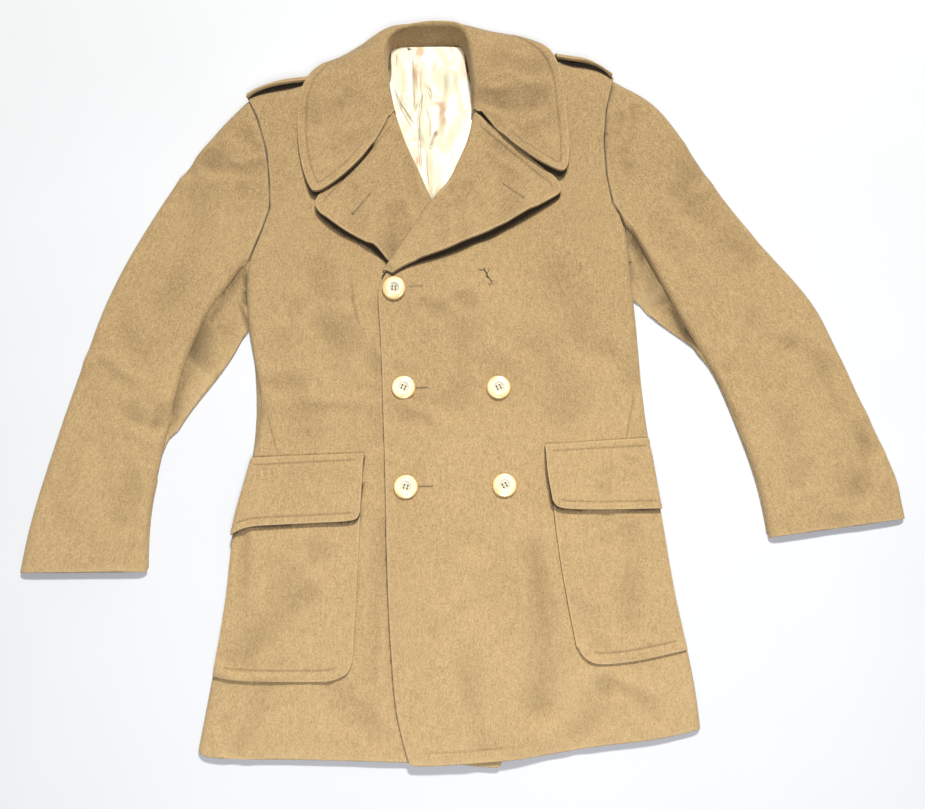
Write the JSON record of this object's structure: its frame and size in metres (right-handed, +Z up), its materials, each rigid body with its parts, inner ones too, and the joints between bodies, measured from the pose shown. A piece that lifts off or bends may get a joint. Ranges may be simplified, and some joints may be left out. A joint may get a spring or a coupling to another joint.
{
  "type": "mackinaw coat",
  "caption": "Double-breasted wool mackinaw coat with wide collar, lapels, shoulder loops and flapped patch pockets, buttoned and laid flat on its back.",
  "frame": {"origin": "on the underside of the back panel, which rests on the surface, near the middle of the coat", "axes": "+X towards the wearer's left sleeve, +Y towards the neck, +Z up from the surface the coat lies on"},
  "size_m": [1.022, 0.9055, 0.0381],
  "materials": {
    "wool": "matt napped wool",
    "lining": "satin",
    "button": "gloss"
  },
  "bodies": {
    "root": {"back": "wool", "back_lining": "lining", "front_right": "wool", "front_left": "wool", "lapel_right": "wool", "lapel_left": "wool", "collar": "wool", "sleeve_right": "wool", "under_sleeve_right": "wool", "sleeve_left": "wool", "under_sleeve_left": "wool", "pocket_right": "wool", "pocket_left": "wool", "flap_right": "wool", "flap_left": "wool", "shoulder_loop_right": "wool", "shoulder_loop_left": "wool", "button_top_right": "button", "button_mid_right": "button", "button_low_right": "button", "button_mid_left": "button", "button_low_left": "button"}
  },
  "joints": []
}
